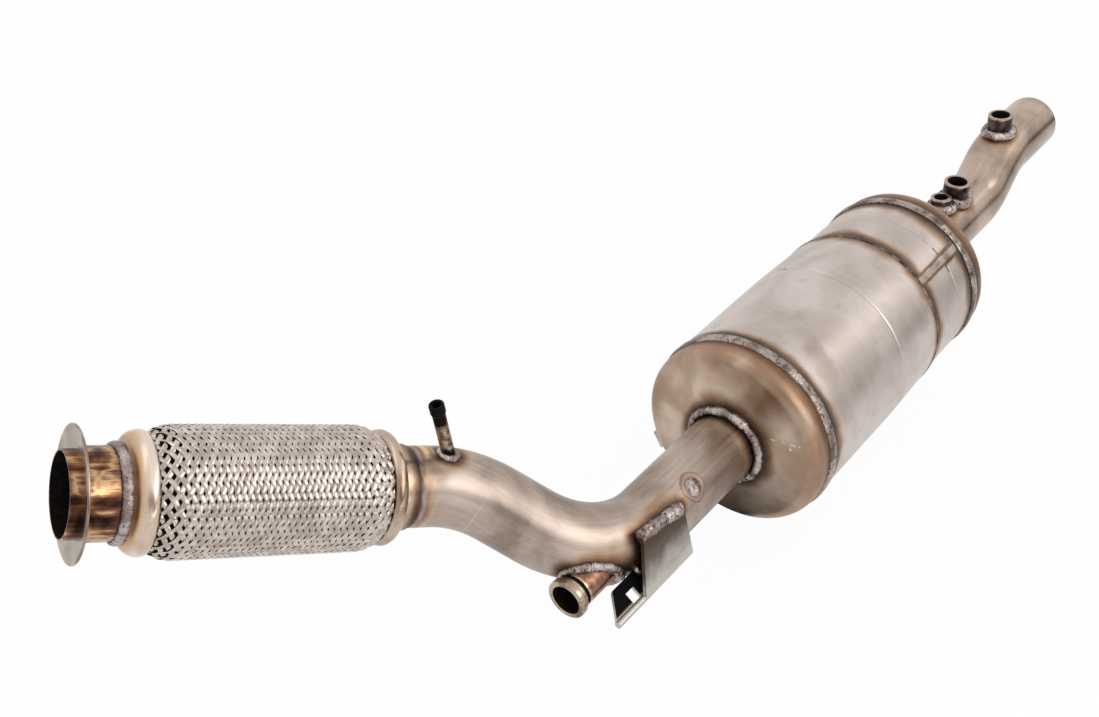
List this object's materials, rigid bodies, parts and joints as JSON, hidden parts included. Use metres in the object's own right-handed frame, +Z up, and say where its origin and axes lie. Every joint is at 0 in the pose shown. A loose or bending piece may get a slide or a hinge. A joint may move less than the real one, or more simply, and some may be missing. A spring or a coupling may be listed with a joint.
{
  "type": "diesel particulate filter assembly",
  "caption": "Exhaust filter can with a braided flex coupling and S-shaped pipe at the inlet and a joggled outlet pipe with sensor bosses, all welded steel.",
  "frame": {"origin": "centre of the inlet mouth", "axes": "+X runs along the axis of the can from inlet to outlet, +Z is up as the part hangs under a vehicle, +Y completes the right-handed frame"},
  "size_m": [1.1165, 0.3465, 0.2876],
  "materials": {
    "weld": "rough silver weld metal",
    "plate": "dull zinc grey sheet",
    "braid": "woven steel wire",
    "inner_steel": "plain thin steel",
    "brick": "porous ceramic",
    "mat": "fibre mat",
    "can": "satin stainless sheet with heat tints",
    "tinted_steel": "heat-tinted steel",
    "boss": "dark turned steel",
    "pipe": "satin steel with brown heat tints"
  },
  "bodies": {
    "root": {"mouth_tube": "tinted_steel", "flange_ring": "pipe", "collar_tube": "tinted_steel", "collar_weld": "weld", "front_cup": "pipe", "flex_braid": "braid", "flex_bellows": "inner_steel", "flex_liner": "inner_steel", "rear_cup": "pipe", "inlet_pipe": "pipe", "tap_tube": "tinted_steel", "tap_weld": "weld", "dosing_port": "tinted_steel", "port_weld": "weld", "bracket": "plate", "bracket_weld": "weld", "bracket_tacks": "weld", "plug_weld": "weld", "neck_weld": "weld", "inlet_dome": "can", "front_rim_weld": "weld", "main_shell": "can", "joint_weld": "weld", "rear_shell": "can", "seam_strip": "can", "rear_rim_weld": "weld", "outlet_cap": "can", "outlet_weld": "weld", "lug": "plate", "outlet_pipe": "pipe", "sensor_boss": "boss", "small_boss": "boss", "end_boss": "boss", "sensor_boss_weld": "weld", "small_boss_weld": "weld", "end_boss_weld": "weld", "filter_brick": "brick", "support_mat": "mat"}
  },
  "joints": []
}
